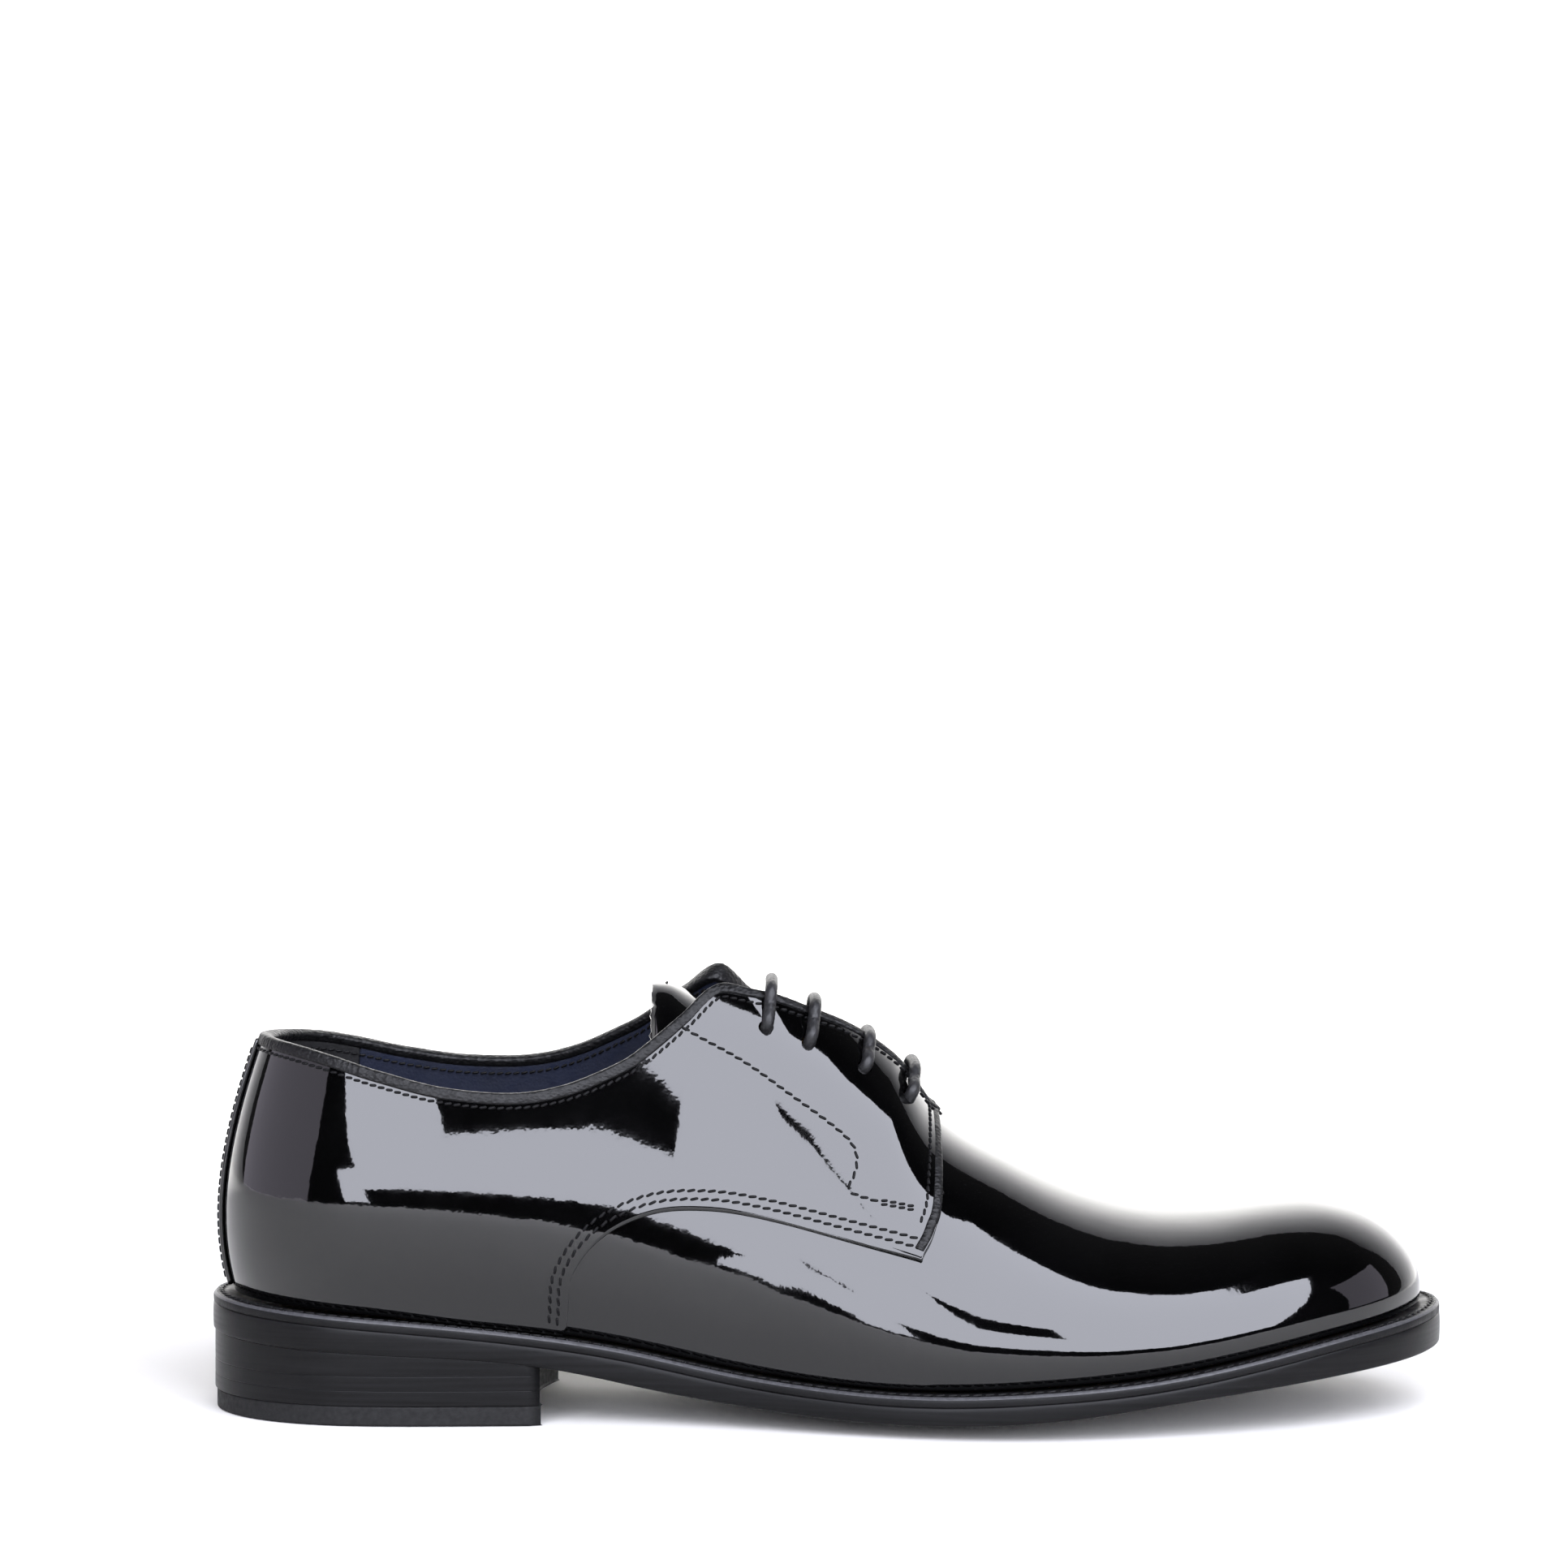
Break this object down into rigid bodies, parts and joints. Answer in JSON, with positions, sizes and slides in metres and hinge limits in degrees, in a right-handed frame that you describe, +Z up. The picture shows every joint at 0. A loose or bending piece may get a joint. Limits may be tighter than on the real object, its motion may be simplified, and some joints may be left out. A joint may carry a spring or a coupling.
{
  "type": "leather dress shoe",
  "caption": "Right-foot patent-leather derby dress shoe with open bar lacing, welted leather sole, low stacked heel and leather lining.",
  "frame": {"origin": "on the ground, under the centre of the shoe's outer box", "axes": "+X towards the toe, +Y towards the medial (inner) side of this right shoe, +Z up"},
  "size_m": [0.305, 0.1069, 0.1098],
  "materials": {
    "patent_leather": "very glossy black patent leather",
    "binding_leather": "satin black, fine wrinkled grain",
    "navy_lining": "matt navy blue lining leather",
    "black_lining": "matt black lining leather",
    "sole_leather": "black, brushed with fine lengthwise streaks",
    "tan_leather": "natural vegetable-tanned leather",
    "stiffener": "stiffened cloth board",
    "rubber_top_piece": "black rubber",
    "cork": "ground cork filler",
    "steel": "plain steel",
    "eyelet_metal": "blind eyelets, hidden under the facing",
    "lace_cord": "round waxed braided cord, charcoal",
    "aglet": "black plastic tip"
  },
  "bodies": {
    "shoe": {"outsole": "sole_leather", "welt": "sole_leather", "insole_rib": "tan_leather", "shank": "steel", "cork_filler": "cork", "insole_board": "tan_leather", "sock_liner": "navy_lining", "heel_top_piece": "rubber_top_piece", "heel_lift_1": "sole_leather", "heel_lift_2": "sole_leather", "heel_seat_wedge": "sole_leather", "heel_nail_1": "steel", "heel_nail_2": "steel", "heel_nail_3": "steel", "heel_nail_4": "steel", "heel_nail_5": "steel", "vamp": "patent_leather", "vamp_lining": "navy_lining", "toe_puff": "stiffener", "quarter_lateral": "patent_leather", "quarter_lining_lateral": "navy_lining", "facing_stay_lateral": "stiffener", "quarter_medial": "patent_leather", "quarter_lining_medial": "navy_lining", "facing_stay_medial": "stiffener", "eyelet_lateral_1": "eyelet_metal", "eyelet_lateral_2": "eyelet_metal", "eyelet_lateral_3": "eyelet_metal", "eyelet_lateral_4": "eyelet_metal", "eyelet_medial_1": "eyelet_metal", "eyelet_medial_2": "eyelet_metal", "eyelet_medial_3": "eyelet_metal", "eyelet_medial_4": "eyelet_metal", "heel_counter": "stiffener", "heel_grip": "black_lining", "backstay": "patent_leather", "topline_binding": "binding_leather", "lace": "lace_cord", "lace_aglet_1": "aglet", "lace_aglet_2": "aglet"},
    "tongue": {"tongue": "patent_leather", "tongue_lining": "navy_lining"}
  },
  "joints": [
    {"name": "tongue_fold", "type": "hinge", "parent": "shoe", "child": "tongue", "pos_m": [0.0216, 0, 0.0745], "axis": [0, -1, 0], "range_deg": [0, 6], "stiffness_Nm_per_rad": 0.6}
  ]
}
